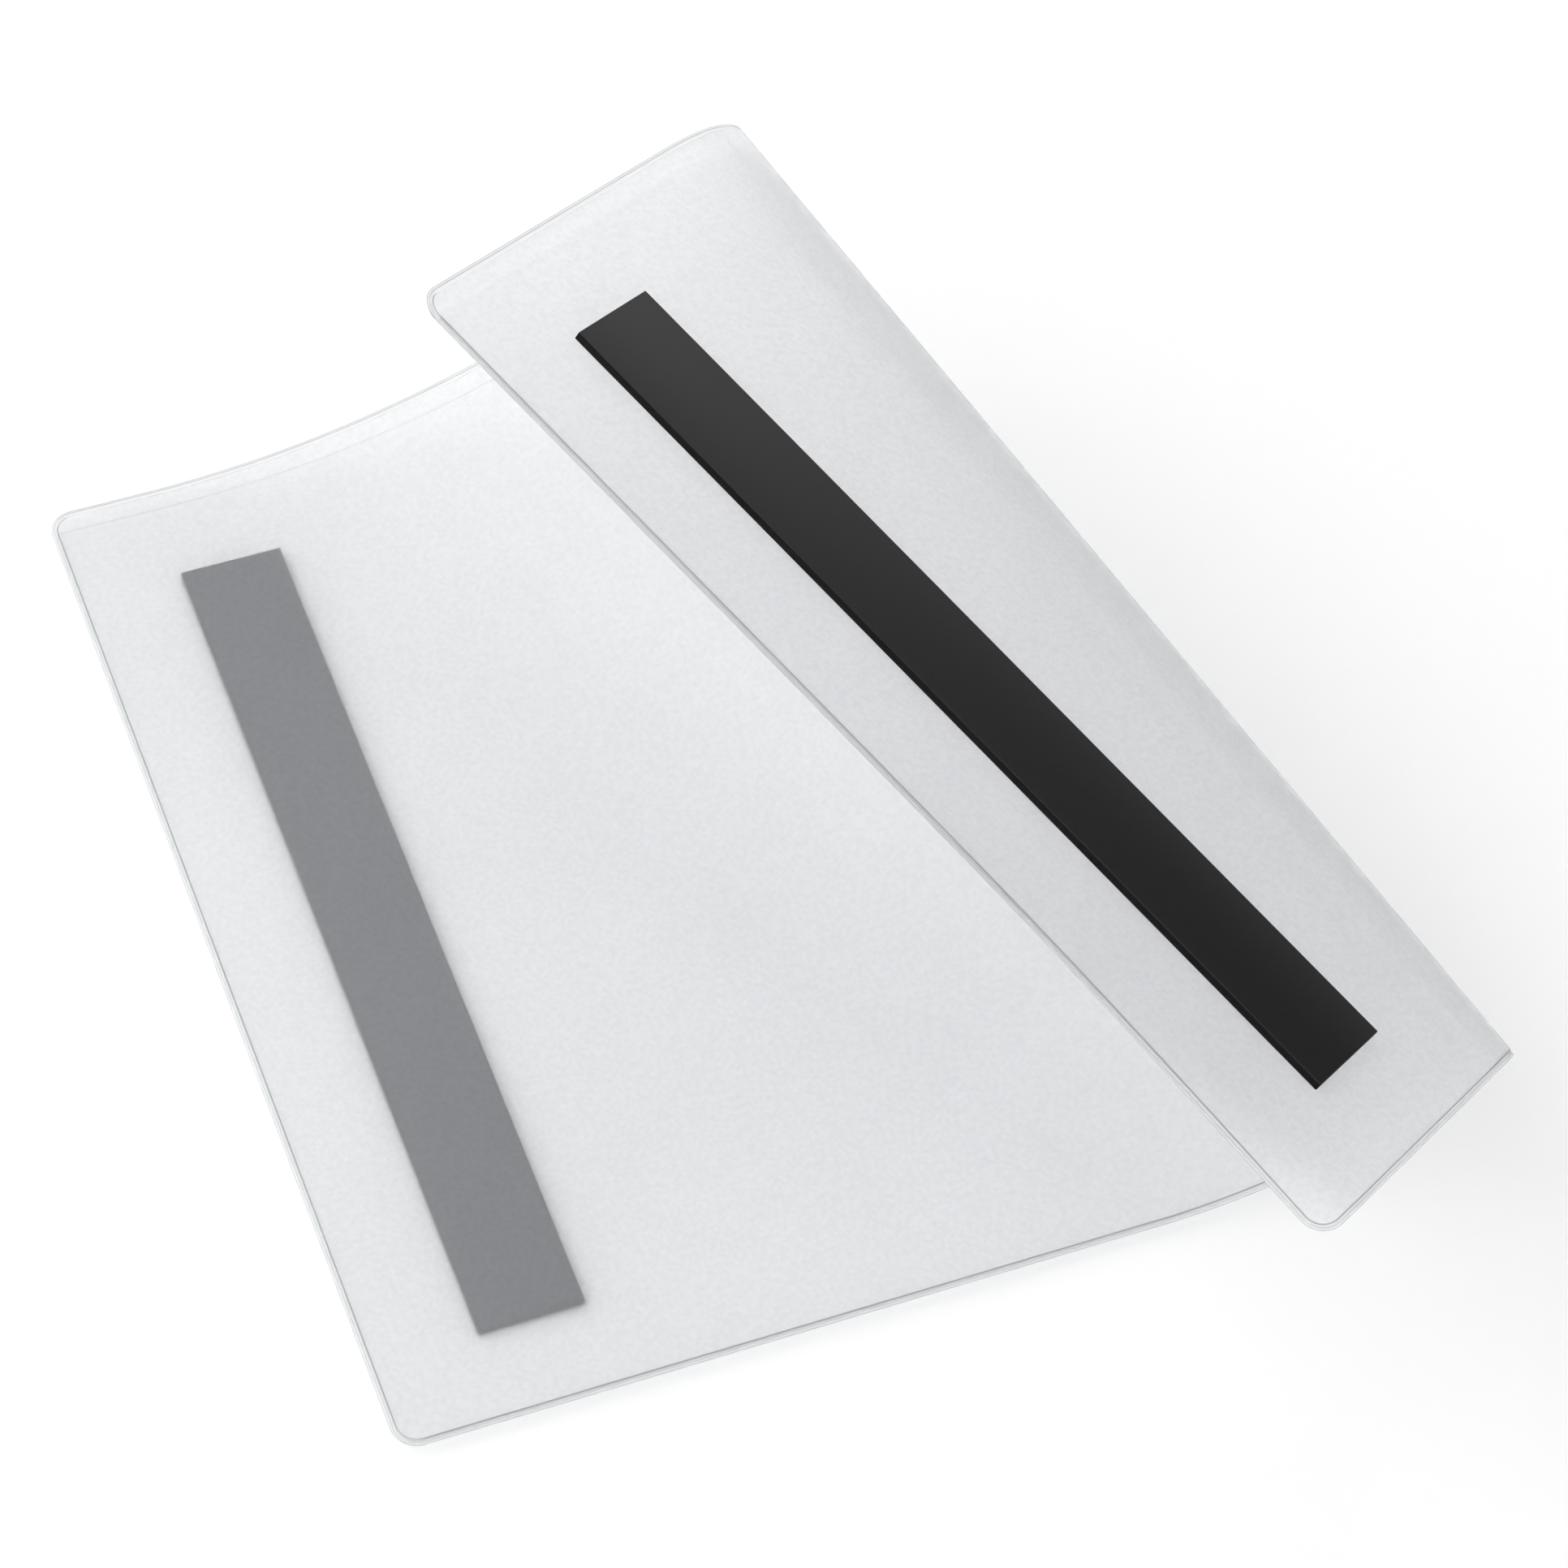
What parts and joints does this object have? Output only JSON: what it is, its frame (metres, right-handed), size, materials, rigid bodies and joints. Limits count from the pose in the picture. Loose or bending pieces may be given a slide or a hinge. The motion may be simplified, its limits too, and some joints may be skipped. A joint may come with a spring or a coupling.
{
  "type": "magnetic display pocket",
  "caption": "Frosted plastic display pocket, open along its long top edge, with magnetic strips on the back near both ends; shown with one end curled over.",
  "frame": {"origin": "centre of the magnetic face of the panel's strip, the face that sits on the board or table", "axes": "+X along the pocket's bottom edge from the panel strip towards the curl, +Y up the sheet towards the open mouth, +Z out of the pocket's front"},
  "size_m": [0.2021, 0.2697, 0.1411],
  "materials": {
    "frosted_pvc": "frosted translucent film with a fine embossed grain",
    "welded_pvc": "film melted clear along a narrow weld",
    "magnetic_rubber": "matte black plastic-bonded ferrite",
    "adhesive_tape": "thin acrylic tape, dark over the black strip"
  },
  "bodies": {
    "panel": {"rear_film_panel": "frosted_pvc", "front_film_panel": "frosted_pvc", "weld_panel": "welded_pvc", "adhesive_panel": "adhesive_tape", "magnetic_strip_panel": "magnetic_rubber"},
    "bend_01": {"rear_film_bend_01": "frosted_pvc", "front_film_bend_01": "frosted_pvc", "weld_bend_01": "welded_pvc"},
    "bend_02": {"rear_film_bend_02": "frosted_pvc", "front_film_bend_02": "frosted_pvc", "weld_bend_02": "welded_pvc"},
    "bend_03": {"rear_film_bend_03": "frosted_pvc", "front_film_bend_03": "frosted_pvc", "weld_bend_03": "welded_pvc"},
    "bend_04": {"rear_film_bend_04": "frosted_pvc", "front_film_bend_04": "frosted_pvc", "weld_bend_04": "welded_pvc"},
    "bend_05": {"rear_film_bend_05": "frosted_pvc", "front_film_bend_05": "frosted_pvc", "weld_bend_05": "welded_pvc"},
    "bend_06": {"rear_film_bend_06": "frosted_pvc", "front_film_bend_06": "frosted_pvc", "weld_bend_06": "welded_pvc"},
    "bend_07": {"rear_film_bend_07": "frosted_pvc", "front_film_bend_07": "frosted_pvc", "weld_bend_07": "welded_pvc"},
    "bend_08": {"rear_film_bend_08": "frosted_pvc", "front_film_bend_08": "frosted_pvc", "weld_bend_08": "welded_pvc"},
    "bend_09": {"rear_film_bend_09": "frosted_pvc", "front_film_bend_09": "frosted_pvc", "weld_bend_09": "welded_pvc"},
    "bend_10": {"rear_film_bend_10": "frosted_pvc", "front_film_bend_10": "frosted_pvc", "weld_bend_10": "welded_pvc"},
    "flap": {"rear_film_flap": "frosted_pvc", "front_film_flap": "frosted_pvc", "weld_flap": "welded_pvc", "adhesive_flap": "adhesive_tape", "magnetic_strip_flap": "magnetic_rubber"}
  },
  "joints": [
    {"name": "lift", "type": "hinge", "parent": "panel", "child": "bend_01", "pos_m": [0.12212, -0.109, 0.00235], "axis": [0.4656, -0.885, 0], "range_deg": [-14.5, 5]},
    {"name": "lift_2", "type": "hinge", "parent": "bend_01", "child": "bend_02", "pos_m": [0.13872, -0.10922, 0.00612], "axis": [0.4124, -0.9109, -0.0153], "range_deg": [-14.5, 5]},
    {"name": "lift_3", "type": "hinge", "parent": "bend_02", "child": "bend_03", "pos_m": [0.1532, -0.11005, 0.01314], "axis": [0.3628, -0.9308, -0.0448], "range_deg": [-14.5, 5]},
    {"name": "roll", "type": "hinge", "parent": "bend_03", "child": "bend_04", "pos_m": [0.16215, -0.11132, 0.02039], "axis": [0.3309, -0.9406, -0.0762], "range_deg": [-14.5, 5]},
    {"name": "roll_2", "type": "hinge", "parent": "bend_04", "child": "bend_05", "pos_m": [0.16669, -0.11269, 0.02625], "axis": [0.3148, -0.9437, -0.1019], "range_deg": [-14.5, 5]},
    {"name": "roll_3", "type": "hinge", "parent": "bend_05", "child": "bend_06", "pos_m": [0.16962, -0.11463, 0.03277], "axis": [0.3048, -0.9434, -0.1308], "range_deg": [-14.5, 5]},
    {"name": "roll_4", "type": "hinge", "parent": "bend_06", "child": "bend_07", "pos_m": [0.17086, -0.11711, 0.0395], "axis": [0.3017, -0.9397, -0.161], "range_deg": [-14.5, 5]},
    {"name": "roll_5", "type": "hinge", "parent": "bend_07", "child": "bend_08", "pos_m": [0.1704, -0.12008, 0.04603], "axis": [0.3057, -0.9329, -0.1905], "range_deg": [-14.5, 5]},
    {"name": "roll_6", "type": "hinge", "parent": "bend_08", "child": "bend_09", "pos_m": [0.16832, -0.12344, 0.05193], "axis": [0.3165, -0.9233, -0.2174], "range_deg": [-14.5, 5]},
    {"name": "roll_7", "type": "hinge", "parent": "bend_09", "child": "bend_10", "pos_m": [0.16481, -0.12703, 0.05684], "axis": [0.3334, -0.9117, -0.24], "range_deg": [-14.5, 5]},
    {"name": "roll_8", "type": "hinge", "parent": "bend_10", "child": "flap", "pos_m": [0.16013, -0.13071, 0.06045], "axis": [0.3553, -0.8988, -0.2569], "range_deg": [-14.5, 5]}
  ],
  "couplings": [
    {"joint": "lift_2", "follows": "lift", "ratio": 1},
    {"joint": "lift_3", "follows": "lift", "ratio": 1},
    {"joint": "roll_2", "follows": "roll", "ratio": 1},
    {"joint": "roll_3", "follows": "roll", "ratio": 1},
    {"joint": "roll_4", "follows": "roll", "ratio": 1},
    {"joint": "roll_5", "follows": "roll", "ratio": 1},
    {"joint": "roll_6", "follows": "roll", "ratio": 1},
    {"joint": "roll_7", "follows": "roll", "ratio": 1},
    {"joint": "roll_8", "follows": "roll", "ratio": 1}
  ]
}
